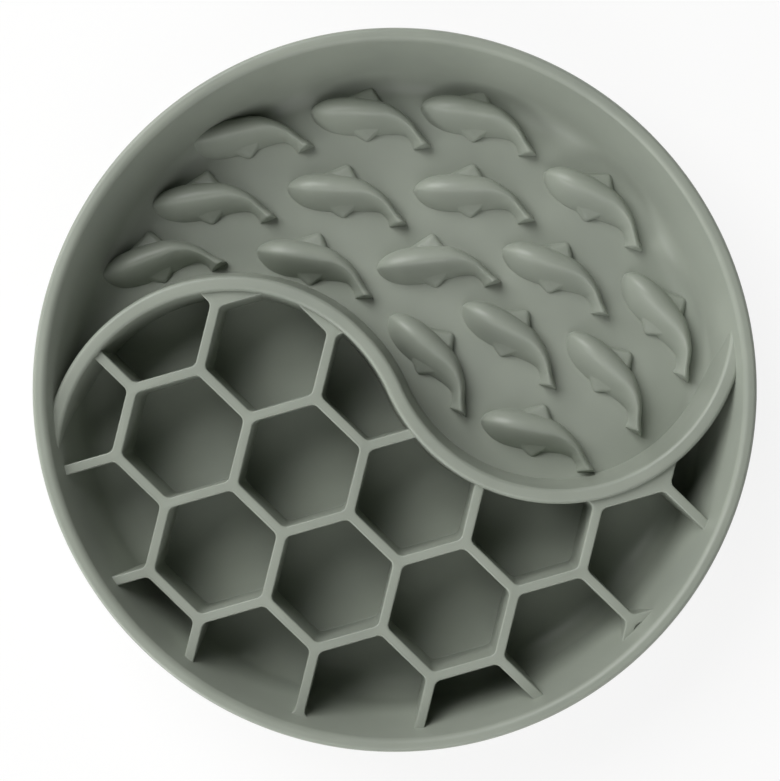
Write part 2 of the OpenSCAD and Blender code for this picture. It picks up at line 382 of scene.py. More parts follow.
@dataclass(frozen=True)
class MouldedSilicone:
    """Matt food-grade silicone, pigmented sage and pressed in a spark-eroded steel mould.

    The eye sees an even, slightly chalky grey-green with a soft wide sheen, no mirror gloss, a fine
    grain from the mould, and a little light that passes through thin edges.
    """

    name: str = "sage_silicone_moulded"
    colour: str = "#949A8F"
    pale: str = "#9AA095"
    deep: str = "#8E948A"
    # Light bends into silicone rubber by this much
    ior: float = 1.41
    roughness: float = 0.37
    roughness_swing: float = 0.05
    # Spacing of the cloudy drift of the pigment
    cloud_mm: float = 38.0
    # The mould's grain is about 0.05 mm in truth: drawn coarser, so that a pixel can show it
    grain_mm: float = 0.45
    grain_depth_mm: float = 0.006
    # The slight waviness of a soft part that was pulled from its mould
    wave_mm: float = 14.0
    wave_depth_mm: float = 0.02
    # Noise between these levels runs from one end of its effect to the other
    noise_span: tuple[float, float] = (0.3, 0.7)
    # A little light enters, and its red and green travel this far and its blue less
    glow: float = 0.06
    glow_mm: float = 1.6
    glow_reach: tuple[float, float, float] = (1.0, 1.0, 0.8)

    def material(self) -> Material:
        """Gives the material, which is made on first use.

        Returns:
            The material that all pieces share.
        """
        found = bpy.data.materials.get(self.name)
        if found:
            return found
        made = bpy.data.materials.new(self.name)
        made.use_nodes = True
        tree = made.node_tree
        tree.nodes.clear()
        place = add_node(tree, "ShaderNodeTexCoord").outputs["Object"]
        # A noise of scale 1 repeats about once in each metre of Object coordinates
        cloud, grain, wave = (
            add_node(tree, "ShaderNodeTexNoise", inputs={
                "Vector": place, "Scale": 1.0 / (spacing * MM), "Detail": detail, "Roughness": fall,
            }).outputs["Fac"]
            for spacing, detail, fall in (
                (self.cloud_mm, 3.0, 0.55), (self.grain_mm, 1.0, 0.5), (self.wave_mm, 2.0, 0.4)))
        drift = add_node(tree, "ShaderNodeValToRGB", inputs={"Fac": cloud})
        low, high = self.noise_span
        stops = drift.color_ramp.elements
        stops[0].position, stops[0].color = low, linear(self.deep)
        stops[1].position, stops[1].color = high, linear(self.pale)
        stops.new((low + high) / 2.0).color = linear(self.colour)
        roughness = add_node(tree, "ShaderNodeMapRange", inputs={
            "Value": wave, "From Min": low, "From Max": high,
            "To Min": self.roughness - self.roughness_swing, "To Max": self.roughness + self.roughness_swing})
        soft = add_node(tree, "ShaderNodeBump", inputs={
            "Height": wave, "Distance": self.wave_depth_mm * MM, "Strength": 1.0})
        fine = add_node(tree, "ShaderNodeBump", inputs={
            "Height": grain, "Distance": self.grain_depth_mm * MM, "Strength": 1.0,
            "Normal": soft.outputs["Normal"]})
        surface = add_node(tree, "ShaderNodeBsdfPrincipled", inputs={
            "Base Color": drift.outputs["Color"], "Roughness": roughness.outputs["Result"],
            "Normal": fine.outputs["Normal"], "IOR": self.ior, "Metallic": 0.0,
            "Subsurface Weight": self.glow, "Subsurface Radius": self.glow_reach,
            "Subsurface Scale": self.glow_mm * MM})
        add_node(tree, "ShaderNodeOutputMaterial", inputs={"Surface": surface.outputs["BSDF"]})
        return made


@dataclass
class NodeRecipe:
    """A geometry node tree with named inputs, run once on an object and then taken off."""

    name: str
    tree: GeometryNodeTree = field(init=False)
    entry: Node = field(init=False)
    values: dict[str, Any] = field(default_factory=dict)

    def __post_init__(self) -> None:
        """Starts the tree with the geometry that comes in and goes out."""
        self.tree = bpy.data.node_groups.new(self.name, "GeometryNodeTree")
        self.tree.is_modifier = True
        for way in ("INPUT", "OUTPUT"):
            self.tree.interface.new_socket("Geometry", in_out=way, socket_type="NodeSocketGeometry")
        self.entry = self.tree.nodes.new("NodeGroupInput")

    def take(self, name: str, kind: str, value: Any) -> NodeSocket:
        """Adds a named input.

        Args:
            name: The input's name.
            kind: The last part of the socket's type, such as Float.
            value: What it holds when the recipe runs.

        Returns:
            The socket that gives the value inside the tree.
        """
        made = self.tree.interface.new_socket(name, in_out="INPUT", socket_type="NodeSocket" + kind)
        self.values[made.identifier] = value
        return self.entry.outputs[name]

    def take_shape(self, name: str, helper: Object) -> NodeSocket:
        """Adds a named input for a helper and gives the socket with the helper's geometry."""
        held = self.take(name, "Object", helper)
        return add_node(self.tree, "GeometryNodeObjectInfo", inputs={"Object": held}).outputs["Geometry"]

    def place(self) -> NodeOutputs:
        """Gives the sockets with the x, y and z of each point."""
        spot = add_node(self.tree, "GeometryNodeInputPosition").outputs[0]
        return add_node(self.tree, "ShaderNodeSeparateXYZ", inputs={0: spot}).outputs

    def trim(self, shape: NodeSocket, room: Object) -> NodeSocket:
        """Cuts a shape off where it leaves a room.

        Args:
            shape: The geometry, with no instances in it.
            room: The helper that bounds it.

        Returns:
            The socket with what lies in the room.
        """
        cut = add_node(self.tree, "GeometryNodeMeshBoolean", {"operation": "INTERSECT", "solver": "EXACT"})
        for solid in (shape, self.take_shape("Room", room)):
            self.tree.links.new(solid, cut.inputs["Mesh 2"])
        return cut.outputs["Mesh"]

    def close(self, shape: NodeSocket, finish: Material) -> None:
        """Ends the tree by realizing instances and setting the material.

        Args:
            shape: The geometry to give out.
            finish: Its material.
        """
        whole = add_node(self.tree, "GeometryNodeRealizeInstances", inputs={"Geometry": shape})
        coat = self.take("Finish", "Material", finish)
        dressed = add_node(self.tree, "GeometryNodeSetMaterial", inputs={
            "Geometry": whole.outputs["Geometry"], "Material": coat})
        add_node(self.tree, "NodeGroupOutput", inputs={"Geometry": dressed.outputs["Geometry"]})

    def run(self, start: Object) -> Object:
        """Runs the tree on an object and makes the result a plain mesh.

        Args:
            start: The object that gives the first geometry.

        Returns:
            The same object with the new mesh and no modifier.
        """
        step = start.modifiers.new(self.name, "NODES")
        step.node_group = self.tree
        for identifier, value in self.values.items():
            step[identifier] = value
        graph = bpy.context.evaluated_depsgraph_get()
        mesh = bpy.data.meshes.new_from_object(start.evaluated_get(graph), depsgraph=graph)
        start.modifiers.remove(step)
        start.data = mesh
        mesh.name = start.name
        clean(mesh)
        shade(mesh)
        return start


@dataclass
class SubAssembly:
    """A part of the bowl that is built and dressed on its own."""

    plan: BowlPlan
    finish: MouldedSilicone

    def dress(self, piece: Object, nodes: Sequence[str]) -> Object:
        """Gives a piece its finish and its body, and hides the CAD nodes that it stands for.

        Args:
            piece: The finished piece.
            nodes: Names of the CAD nodes.

        Returns:
            The piece.
        """
        if not piece.data.materials:
            piece.data.materials.append(self.finish.material())
        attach(piece, BODY)
        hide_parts(*nodes)
        LOG.info("%s: %d points, stands for %s", piece.name, len(piece.data.vertices), ", ".join(nodes))
        return piece


@dataclass
class BowlShell(SubAssembly):
    """The leaning wall with its rounded rim, the floor and the foot ring, in one skin."""

    foot_outer_r: float = 76.75
    foot_w: float = 6.0
    foot_round: float = 0.6
    # The rim falls to the inside in a fuller round than to the outside
    lip_round: float = 1.9
    # Straight steps in each rounding of the section
    foot_steps: int = 4
    outer_steps: int = 14
    rim_steps: int = 10
    lip_steps: int = 12
    inner_steps: int = 18
    segments: int = 288

    def section(self) -> np.ndarray:
        """Gives the half section from the middle of the underside round to the middle of the floor."""
        p = self.plan
        outer_corner = p.corner_r + p.floor_t
        bead, steps = self.foot_round, self.foot_steps
        foot_out, foot_in = self.foot_outer_r, self.foot_outer_r - self.foot_w
        inside = p.inner_top_r + self.lip_round * p.corner_run
        return np.vstack([
            [[0.0, p.foot_h], [foot_in - bead, p.foot_h]],
            arc((foot_in - bead, p.foot_h - bead), bead, 90.0, 0.0, steps)[1:],
            arc((foot_in + bead, bead), bead, 180.0, 270.0, steps),
            arc((foot_out - bead, bead), bead, 270.0, 360.0, steps),
            arc((foot_out + bead, p.foot_h - bead), bead, 180.0, 90.0, steps),
            p.corner_arc(p.outer_top_r, p.foot_h, outer_corner, self.outer_steps),
            arc((p.bowl_d / 2.0 - p.rim_round, p.bowl_h - p.rim_round), p.rim_round,
                -p.wall_lean, 90.0, self.rim_steps),
            arc((inside, p.bowl_h - self.lip_round), self.lip_round,
                90.0, 180.0 - p.wall_lean, self.lip_steps),
            p.inner_section(self.inner_steps)[-2::-1],
            [[0.0, p.floor_z]],
        ])

    def build(self) -> Object:
        """Builds and dresses the shell."""
        points, faces = revolve(self.section(), self.segments)
        return self.dress(mesh_object("bowl_shell", points, faces), ("outer_wall", "base_plate", "foot_ring"))


@dataclass
class FishTray(SubAssembly):
    """The raised floor of the fish half, which rises in a cove against the wall."""

    cove_steps: int = 16

    def build(self) -> Object:
        """Builds and dresses the tray."""
        p = self.plan
        cove = p.corner_arc(p.inner_top_r, p.tray_z, p.corner_r, self.cove_steps)[::-1]
        section = np.vstack([p.buried_section(float(cove[0, 1])), cove])
        points, faces = p.half_block(section, Half.FISH)
        return self.dress(mesh_object("fish_tray_floor", points, faces), ("fish_tray",))


@dataclass
class TrimmingRoom:
    """The room inside the bowl, grown a little into the wall, which trims pieces that run into it."""

    plan: BowlPlan
    segments: int = 192
    spare: float = 4.0

    def build(self) -> Object:
        """Builds the room as a hidden helper."""
        p = self.plan
        side = p.buried_section(p.bowl_h + self.spare)
        side[0, 1] = p.root_z - p.overlap / 2.0
        section = np.vstack([[[0.0, side[0, 1]]], side, [[0.0, side[-1, 1]]]])
        made = mesh_object("trimming_room", *revolve(section, self.segments))
        made.hide_render = True
        return made


@dataclass
class SDivider(SubAssembly):
    """The S-shaped wall, a tapered section with a rounded top that is swept along two half circles."""

    path_points: int = 360
    edge_steps: int = 7

    def build(self, room: Object) -> Object:
        """Sweeps, trims and dresses the divider.

        Args:
            room: The helper that trims its two ends inside the wall.

        Returns:
            The piece.
        """
        p = self.plan
        tall = p.divider_top - p.root_z
        comb_foot, fish_foot = (
            p.divider_t / 2.0 + tall * math.tan(math.radians(lean)) for lean in (p.divider_lean, p.fish_lean))
        recipe = NodeRecipe("s_divider_sweep")
        tree = recipe.tree
        lobe = recipe.take("Lobe radius", "Float", p.lobe_r * MM)
        turn = recipe.take("Turn", "Float", math.radians(p.swirl_turn))
        middle = recipe.take("Middle height", "Float", (p.root_z + p.divider_top) / 2.0 * MM)
        # The sweep hangs the section from its path: its second axis runs down, its first to the honeycomb
        section_points = (
            (-p.divider_t / 2.0, -tall / 2.0), (p.divider_t / 2.0, -tall / 2.0),
            (comb_foot, tall / 2.0), (-fish_foot, tall / 2.0))
        corners = [
            recipe.take(f"Section corner {k + 1}", "Vector", (x * MM, y * MM, 0.0))
            for k, (x, y) in enumerate(section_points)]
        rounding = recipe.take("Edge rounding", "Float", p.divider_round * MM)
        # The path runs from -1 to 1: the first half circle bends over, the second under
        line = add_node(tree, "GeometryNodeMeshLine", {"mode": "END_POINTS"}, {
            "Count": self.path_points, "Start Location": (-1.0, 0.0, 0.0), "Offset": (1.0, 0.0, 0.0)})
        along = recipe.place()["X"]
        side = calc(tree, "SIGN", along)
        share = calc(tree, "SUBTRACT", calc(tree, "GREATER_THAN", along, 0.0), along)
        angle = calc(tree, "MULTIPLY", share, math.pi)
        east = calc(tree, "MULTIPLY", calc(tree, "ADD", side, calc(tree, "COSINE", angle)), lobe)
        south = calc(tree, "MULTIPLY", calc(tree, "MULTIPLY", side, calc(tree, "SINE", angle)), lobe)
        north = calc(tree, "MULTIPLY", south, -1.0)
        spot = add_node(tree, "ShaderNodeCombineXYZ", inputs={"X": east, "Y": north, "Z": middle}).outputs[0]
        swung = add_node(tree, "ShaderNodeVectorRotate", {"rotation_type": "Z_AXIS"}, {
            "Vector": spot, "Angle": turn}).outputs[0]
        path = add_node(tree, "GeometryNodeSetPosition", inputs={
            "Geometry": line.outputs["Mesh"], "Position": swung})
        rail = add_node(tree, "GeometryNodeMeshToCurve", inputs={"Mesh": path.outputs["Geometry"]})
        level = add_node(tree, "GeometryNodeSetCurveNormal", {"mode": "Z_UP"}, {
            "Curve": rail.outputs["Curve"]})
        section = add_node(tree, "GeometryNodeCurvePrimitiveQuadrilateral", {"mode": "POINTS"}, {
            f"Point {k + 1}": corner for k, corner in enumerate(corners)})
        bend = calc(tree, "MULTIPLY", calc(tree, "LESS_THAN", recipe.place()["Y"], 0.0), rounding)
        rounded = add_node(tree, "GeometryNodeFilletCurve", {"mode": "POLY"}, {
            "Curve": section.outputs["Curve"], "Radius": bend, "Limit Radius": True,
            "Count": self.edge_steps})
        swept = add_node(tree, "GeometryNodeCurveToMesh", inputs={
            "Curve": level.outputs["Curve"], "Profile Curve": rounded.outputs["Curve"], "Fill Caps": True})
        recipe.close(recipe.trim(swept.outputs["Mesh"], room), self.finish.material())
        start = mesh_object("s_divider_wall", np.zeros((0, 3)), [])
        return self.dress(recipe.run(start), ("s_divider",))


@dataclass
class Honeycomb(SubAssembly):
    """The ribs of the cells: a block in the comb half from which a lattice of pockets is taken."""

    cell_pitch: float = 33.5
    rib_t: float = 2.8
    cell_round: float = 2.2
    comb_turn: float = 22.0
    first_cell: tuple[float, float] = (-33.0, -8.5)
    # The tip of the half beside the end of the divider is open over this length
    tip_room: float = 22.0
    # Rows of the lattice on each side of the first cell
    lattice_reach: int = 4
    edge_round: float = 0.45
    foot_round: float = 0.4
    pocket_draft: float = 0.4
    # Pockets end this far below the floor and reach this far above the ribs
    slip: float = 0.02
    overshoot: float = 3.0
    corner_steps: int = 7
    edge_steps: int = 5
    tip_segments: int = 96
    least_round: float = 0.3

    def pocket_ring(self, grow: float, z: float) -> np.ndarray:
        """Gives the outline of a pocket, a hexagon with rounded corners.

        Args:
            grow: How much wider it is on each side than the cell.
            z: Its height.

        Returns:
            Rows of x, y and z.
        """
        apothem = (self.cell_pitch - self.rib_t) / 2.0 + grow
        rounding = max(self.least_round, self.cell_round + grow)
        corner = (apothem - rounding) / math.cos(math.radians(30.0))
        rows = []
        for a in range(0, 360, 60):
            way = math.radians(a + 30.0)
            middle = (corner * math.cos(way), corner * math.sin(way))
            rows.append(arc(middle, rounding, a, a + 60.0, self.corner_steps))
        plan = np.vstack(rows)
        return np.column_stack([plan, np.full(len(plan), z)])

    def pocket(self) -> Object:
        """Builds the shape of one pocket as a hidden helper, flared at the ribs' edges."""
        p = self.plan
        edge, foot, slip = self.edge_round, self.foot_round, self.slip
        draft = math.tan(math.radians(self.pocket_draft))
        shoulder, sole = p.grid_top - edge, p.floor_z + foot
        rings = [self.pocket_ring(edge, p.grid_top + self.overshoot)]
        for a in np.radians(np.linspace(90.0, 0.0, self.edge_steps + 1)):
            z = shoulder + (edge + slip / 4.0) * math.sin(a)
            rings.append(self.pocket_ring(edge * (1.0 - math.cos(a)), z))
        inset = (shoulder - sole) * draft
        for a in np.radians(np.linspace(0.0, 90.0, self.edge_steps + 1)):
            z = sole - (foot + slip) * math.sin(a)
            rings.append(self.pocket_ring(-inset - foot * (1.0 - math.cos(a)), z))
        made = mesh_object("pocket_shape", *loft(rings))
        made.hide_render = True
        return made

    def tip(self) -> np.ndarray:
        """Gives the tip of the half in plan, where the divider's face meets the wall at the ribs' height."""
        p = self.plan
        wall = p.inner_top_r - (p.bowl_h - p.grid_top) * p.slope
        x = (wall ** 2 - (p.lobe_r + p.divider_t / 2.0) ** 2 + p.lobe_r ** 2) / (2.0 * p.lobe_r)
        return turned(np.array([[x, -math.sqrt(max(0.0, wall ** 2 - x ** 2))]]), p.swirl_turn)[0]

    def lattice(self, recipe: NodeRecipe, turn: NodeSocket) -> NodeSocket:
        """Adds nodes that set a point on the middle of each cell.

        Args:
            recipe: The recipe that takes the nodes.
            turn: The socket with the turn of the rows.

        Returns:
            The socket with the points, which reach beyond the half on all sides.
        """
        tree = recipe.tree
        home = turned(np.array([self.first_cell]), self.plan.swirl_turn)[0]
        pitch = recipe.take("Cell pitch", "Float", self.cell_pitch * MM)
        origin = recipe.take("First cell", "Vector", (home[0] * MM, home[1] * MM, 0.0))
        count = 2 * self.lattice_reach + 1
        # Points of the grid lie at whole steps along a row and across the rows, which lean by 60 degrees
        grid = add_node(tree, "GeometryNodeMeshGrid", inputs={
            "Size X": count - 1.0, "Size Y": count - 1.0, "Vertices X": count, "Vertices Y": count})
        step = recipe.place()
        lean = calc(tree, "MULTIPLY_ADD", step["Y"], 0.5, step["X"])
        rise = calc(tree, "MULTIPLY", step["Y"], math.sin(math.radians(60.0)))
        spot = add_node(tree, "ShaderNodeCombineXYZ", inputs={"X": lean, "Y": rise}).outputs[0]
        spread = add_node(tree, "ShaderNodeVectorMath", {"operation": "SCALE"}, {
            0: spot, "Scale": pitch}).outputs[0]
        swung = add_node(tree, "ShaderNodeVectorRotate", {"rotation_type": "Z_AXIS"}, {
            "Vector": spread, "Angle": turn}).outputs[0]
        placed = add_node(tree, "ShaderNodeVectorMath", {"operation": "ADD"}, {
            0: swung, 1: origin}).outputs[0]
        return add_node(tree, "GeometryNodeSetPosition", inputs={
            "Geometry": grid.outputs["Mesh"], "Position": placed}).outputs["Geometry"]

    def left_out(self, recipe: NodeRecipe) -> NodeSocket:
        """Adds nodes that tell which cells lie outside the bowl or would be a mere slit beside the divider.

        Args:
            recipe: The recipe that takes the nodes.

        Returns:
            A socket that is 1 for a cell to leave out and 0 for the others.
        """
        p, tree = self.plan, recipe.tree
        edge = recipe.take("Lattice edge", "Float", (p.bowl_d / 2.0 + self.cell_pitch / 2.0) * MM)
        beyond = recipe.take("Reach beyond the divider", "Float", (self.cell_pitch - self.rib_t) / 4.0 * MM)
        lobe = recipe.take("Lobe radius", "Float", p.lobe_r * MM)
        swirl = recipe.take("Divider turn", "Float", math.radians(p.swirl_turn))
        at = add_node(tree, "GeometryNodeInputPosition").outputs[0]
        far = add_node(tree, "ShaderNodeVectorMath", {"operation": "LENGTH"}, {0: at}).outputs["Value"]
        outside = calc(tree, "GREATER_THAN", far, edge)
        local = add_node(tree, "ShaderNodeVectorRotate", {"rotation_type": "Z_AXIS"}, {
            "Vector": at, "Angle": calc(tree, "MULTIPLY", swirl, -1.0)}).outputs[0]
        middle = add_node(tree, "ShaderNodeCombineXYZ", inputs={"X": lobe}).outputs[0]
        first = add_node(tree, "ShaderNodeVectorMath", {"operation": "ADD"}, {
            0: local, 1: middle}).outputs[0]
        from_first = add_node(tree, "ShaderNodeVectorMath", {"operation": "LENGTH"}, {
            0: first}).outputs["Value"]
        from_second = add_node(tree, "ShaderNodeVectorMath", {"operation": "DISTANCE"}, {
            0: local, 1: middle}).outputs["Value"]
        over = add_node(tree, "ShaderNodeSeparateXYZ", inputs={0: local}).outputs["Y"]
        high = calc(tree, "GREATER_THAN", over, beyond)
        off = calc(tree, "GREATER_THAN", from_first, calc(tree, "ADD", lobe, beyond))
        above = calc(tree, "MULTIPLY", high, off)
        within = calc(tree, "LESS_THAN", from_second, calc(tree, "SUBTRACT", lobe, beyond))
        return calc(tree, "MAXIMUM", outside, calc(tree, "MAXIMUM", above, within))

    def build(self) -> Object:
        """Cuts the pockets from the block and dresses the ribs."""
        p = self.plan
        start = mesh_object("honeycomb_ribs", *p.half_block(p.buried_section(p.grid_top), Half.COMB))
        start.data.materials.append(self.finish.material())
        pocket = self.pocket()
        recipe = NodeRecipe("honeycomb_lattice")
        tree = recipe.tree
        turn = recipe.take("Row turn", "Float", math.radians(p.swirl_turn + self.comb_turn))
        near = add_node(tree, "GeometryNodeDeleteGeometry", {"domain": "POINT"}, {
            "Geometry": self.lattice(recipe, turn), "Selection": self.left_out(recipe)})
        cell = recipe.take_shape("Pocket", pocket)
        facing = add_node(tree, "ShaderNodeCombineXYZ", inputs={"Z": turn}).outputs[0]
        cells = add_node(tree, "GeometryNodeInstanceOnPoints", inputs={
            "Points": near.outputs["Geometry"], "Instance": cell, "Rotation": facing})
        ribs = add_node(tree, "GeometryNodeMeshBoolean", {"operation": "DIFFERENCE", "solver": "EXACT"}, {
            "Mesh 1": recipe.entry.outputs["Geometry"], "Mesh 2": cells.outputs["Instances"]})
        bottom, top = p.floor_z - self.slip, p.grid_top + self.overshoot
        end = recipe.take("Tip", "Vector", (*(self.tip() * MM), (bottom + top) / 2.0 * MM))
        opening = recipe.take("Tip room", "Float", self.tip_room * MM)
        depth = recipe.take("Tip depth", "Float", (top - bottom) * MM)
        hole = add_node(tree, "GeometryNodeMeshCylinder", inputs={
            "Vertices": self.tip_segments, "Radius": opening, "Depth": depth})
        at_tip = add_node(tree, "GeometryNodeTransform", inputs={
            "Geometry": hole.outputs["Mesh"], "Translation": end})
        tree.links.new(at_tip.outputs["Geometry"], ribs.inputs["Mesh 2"])
        recipe.close(ribs.outputs["Mesh"], self.finish.material())
        made = recipe.run(start)
        discard(pocket)
        return self.dress(made, ("honeycomb_grid",))


@dataclass
class FishShoal(SubAssembly):
    """Sixteen fish-shaped nubs on the tray, one moulded form turned into place along its rows."""

    fish_gap: float = 4.0
    shoal_step: float = 0.48
    fish_w: float = 10.8
    fish_h: float = 8.0
    tail_bend: float = 51.0
    bend_span: tuple[float, float] = (0.58, 0.85)
    back_fin: float = 3.3
    belly_fin: float = 2.0
    back_fin_h: float = 3.4
    belly_fin_h: float = 3.6
    back_fin_at: tuple[float, float, float] = (0.13, 0.49, 0.59)
    belly_fin_at: tuple[float, float, float] = (0.25, 0.46, 0.60)
    fin_root_share: float = 0.5
    fin_blunt: float = 1.5
    fin_tip_points: int = 9
    # Share of a fin's plan that its rounded edge takes, and of its height that it loses towards the tip
    fin_soft: float = 0.5
    back_fin_fall: float = 0.45
    belly_fin_fall: float = 0.85
    # A fin's edge stands up by this share of its height before it rounds over, through these angles
    fin_edge: float = 0.3
    fin_angles: tuple[float, ...] = (0.0, 20.0, 38.0, 54.0, 68.0, 80.0)
    # Share of the way out from its root at which the middle lies that a fin rounds over to
    fin_middle: float = 0.4
    # The ridge lies a little towards the back, which is full and round. The flank to the belly is straight
    ridge_shift: float = 0.10
    back_powers: tuple[float, float] = (2.4, 0.46)
    belly_powers: tuple[float, float] = (1.33, 0.87)
    # The nose stands a little towards the back, and the tail is cut askew
    nose_lift: float = 0.6
    lift_share: float = 0.3
    tail_skew: float = 32.0
    # The nose is rounded over this share of the length, from a point with this share of the section
    nose_share: float = 0.03
    nose_point: float = 0.04
    # The cut end of the tail leans back by this much of its height, and ends in a narrower lip
    tail_share: float = 0.98
    tail_slope: float = 0.12
    lip_share: float = 0.008
    lip_keep: float = 0.93
    # This share of the spacing of the rows crowds towards the two ends
    rows: int = 46
    row_crowding: float = 0.35
    arch_points: int = 27
    # Share of the length, of the half width towards the back and the belly, and of the height
    form: tuple[tuple[float, float, float, float], ...] = (
        (0.00, 0.18, 0.18, 0.28), (0.04, 0.44, 0.44, 0.52), (0.09, 0.68, 0.68, 0.73),
        (0.18, 0.90, 0.90, 0.92), (0.31, 1.00, 1.00, 1.00), (0.45, 0.94, 0.98, 0.98),
        (0.58, 0.80, 0.92, 0.93), (0.68, 0.54, 0.82, 0.86), (0.77, 0.42, 0.60, 0.77),
        (0.84, 0.36, 0.39, 0.70), (0.92, 0.35, 0.35, 0.65), (1.00, 0.52, 0.52, 0.66),
    )
    # Nose of each fish in tray radii along and across the divider's axis, and its turn
    shoal: tuple[tuple[float, float, float], ...] = (
        (-0.31, 1.05, -10), (0.12, 0.985, -26), (0.475, 0.85, -33),
        (-0.51, 0.91, -15), (-0.06, 0.78, -27), (0.335, 0.595, -24), (0.77, 0.47, -49),
        (-0.765, 0.755, -3), (-0.245, 0.625, -32), (0.11, 0.4, -16), (0.53, 0.285, -42), (0.88, 0.04, -70),
        (0.08, 0.235, -63), (0.325, 0.165, -52), (0.62, -0.07, -65),
        (0.225, -0.22, -35),
    )

    @property
    def tray_r(self) -> float:
        """Radius of the flat part of the tray."""
        return self.plan.flat_r(self.plan.inner_top_r, self.plan.tray_z, self.plan.corner_r)

    @property
    def length(self) -> float:
        """Length of a fish along its spine."""
        return self.shoal_step * self.tray_r - self.fish_gap

    def spine(self, share: float) -> tuple[float, float, float]:
        """Gives a point of the spine and its heading.

        Args:
            share: Share of the length from the nose.

        Returns:
            Its x and y from the nose, and the heading in radians.
        """
        start, end = self.bend_span
        bend = math.radians(self.tail_bend) * min(1.0, max(0.0, (share - start) / (end - start)))
        radius = (end - start) * self.length / math.radians(self.tail_bend)
        tail = max(0.0, share - end) * self.length
        x = min(share, start) * self.length + radius * math.sin(bend) + tail * math.cos(bend)
        return x, -radius * (1.0 - math.cos(bend)) - tail * math.sin(bend), -bend

    def form_at(self, share: float) -> tuple[float, float, float]:
        """Gives the half widths and the height of the body, drawn smoothly through its form.

        Args:
            share: Share of the length from the nose.

        Returns:
            Half width towards the back and towards the belly, and height.
        """
        knots = np.array(self.form)
        slopes = np.gradient(knots[:, 1:], knots[:, 0], axis=0)
        i = min(len(knots) - 2, max(0, int(np.searchsorted(knots[:, 0], share)) - 1))
        span = knots[i + 1, 0] - knots[i, 0]
        t = min(1.0, max(0.0, (share - knots[i, 0]) / span))
        value = (
            (1 + 2 * t) * (1 - t) ** 2 * knots[i, 1:] + t * (1 - t) ** 2 * span * slopes[i]
            + t * t * (3 - 2 * t) * knots[i + 1, 1:] - t * t * (1 - t) * span * slopes[i + 1]
        )
        blunt = math.sqrt(max(0.0, 1.0 - max(0.0, 1.0 - share / self.nose_share) ** 2))
        back, belly, tall = value * (self.nose_point + (1.0 - self.nose_point) * blunt)
        return back * self.fish_w / 2.0, belly * self.fish_w / 2.0, tall * self.fish_h

    def ring(self, share: float, keep: float = 1.0) -> np.ndarray:
        """Gives the closed section of the body across the spine.

        Args:
            share: Share of the length from the nose.
            keep: Share of the section's size.

        Returns:
            Rows of x, y and z, with the two lower corners last.
        """
        x, y, heading = self.spine(share)
        straight = self.bend_span[1]
        y += self.nose_lift * max(0.0, 1.0 - share / self.lift_share) ** 2
        heading -= math.radians(self.tail_skew) * max(0.0, (share - straight) / (1.0 - straight))
        back, belly, tall = self.form_at(share)
        across = -np.cos(np.linspace(0.0, math.pi, self.arch_points))
        lean = np.where(across > self.ridge_shift, 1.0 - self.ridge_shift, 1.0 + self.ridge_shift)
        off = np.clip(np.abs((across - self.ridge_shift) / lean), 0.0, 1.0)
        to_back = (across > self.ridge_shift)[:, None]
        swell, draw = np.where(to_back, self.back_powers, self.belly_powers).T
        z = keep * tall * (1.0 - off ** swell) ** draw
        side = keep * across * np.where(across > 0.0, back, belly)
        rows = np.column_stack([x - side * math.sin(heading), y + side * math.cos(heading), z])
        if share >= self.tail_share:
            rows[:, :2] += self.tail_slope * np.outer(tall - z, (math.cos(heading), math.sin(heading)))
        lower = rows[[-1, 0]] - [0.0, 0.0, self.plan.overlap]
        return np.vstack([rows, lower])

    def body(self) -> Object:
        """Builds the body with its blunt nose and its square-cut tail."""
        even = np.linspace(0.0, 1.0, self.rows)
        crowded = 0.5 - 0.5 * np.cos(math.pi * even)
        shares = self.tail_share * (self.row_crowding * crowded + (1.0 - self.row_crowding) * even)
        rings = [self.ring(float(s)) for s in shares]
        rings.append(self.ring(self.tail_share + self.lip_share, self.lip_keep))
        return mesh_object("fish_form", *loft(rings))

    def fin(
        self, name: str, at: Sequence[float], reach: float, height: float, fall: float, side: float,
    ) -> Object:
        """Builds a fin that stands out to one side of the body, with a sloping top and a rounded tip.

        Args:
            name: The helper's name.
            at: Share of the length at its front, its tip and its back.
            reach: How far it stands out.
            height: Height of its top above the tray at the root.
            fall: Share of that height that it loses towards the tip.
            side: 1 for the back, -1 for the belly.

        Returns:
            The fin as a helper.
        """
        root, tip = self.fin_root_share * self.fish_w / 2.0, self.fish_w / 2.0 + reach
        front, point, back = (share * self.length for share in at)
        lead, trail = np.array([front - point, root - tip]), np.array([back - point, root - tip])
        lead, trail = (self.fin_blunt * way / np.linalg.norm(way) for way in (lead, trail))
        peak = np.array([point, tip])
        steps = np.linspace(0.0, 1.0, self.fin_tip_points)
        bend = [peak + lead * (1 - t) ** 2 + trail * t ** 2 for t in steps]
        plan = np.vstack([[[front, root]], bend, [[back, root]]]) * [1.0, side]
        middle = np.array([
            (front + point + 2.0 * back) / 4.0, side * (root + self.fin_middle * (tip - root))])
        rings = []
        for angle in np.radians(self.fin_angles):
            ring = plan + (middle - plan) * self.fin_soft * (1.0 - math.cos(angle))
            out = np.clip((np.abs(ring[:, 1]) - root) / (tip - root), 0.0, 1.0)
            rise = self.fin_edge + (1.0 - self.fin_edge) * math.sin(angle)
            lift = height * rise * (1.0 - fall * out)
            rings.append(np.column_stack([ring, lift]))
        rings.insert(0, np.column_stack([plan, np.full(len(plan), -self.plan.overlap)]))
        return mesh_object(name, *loft(rings))

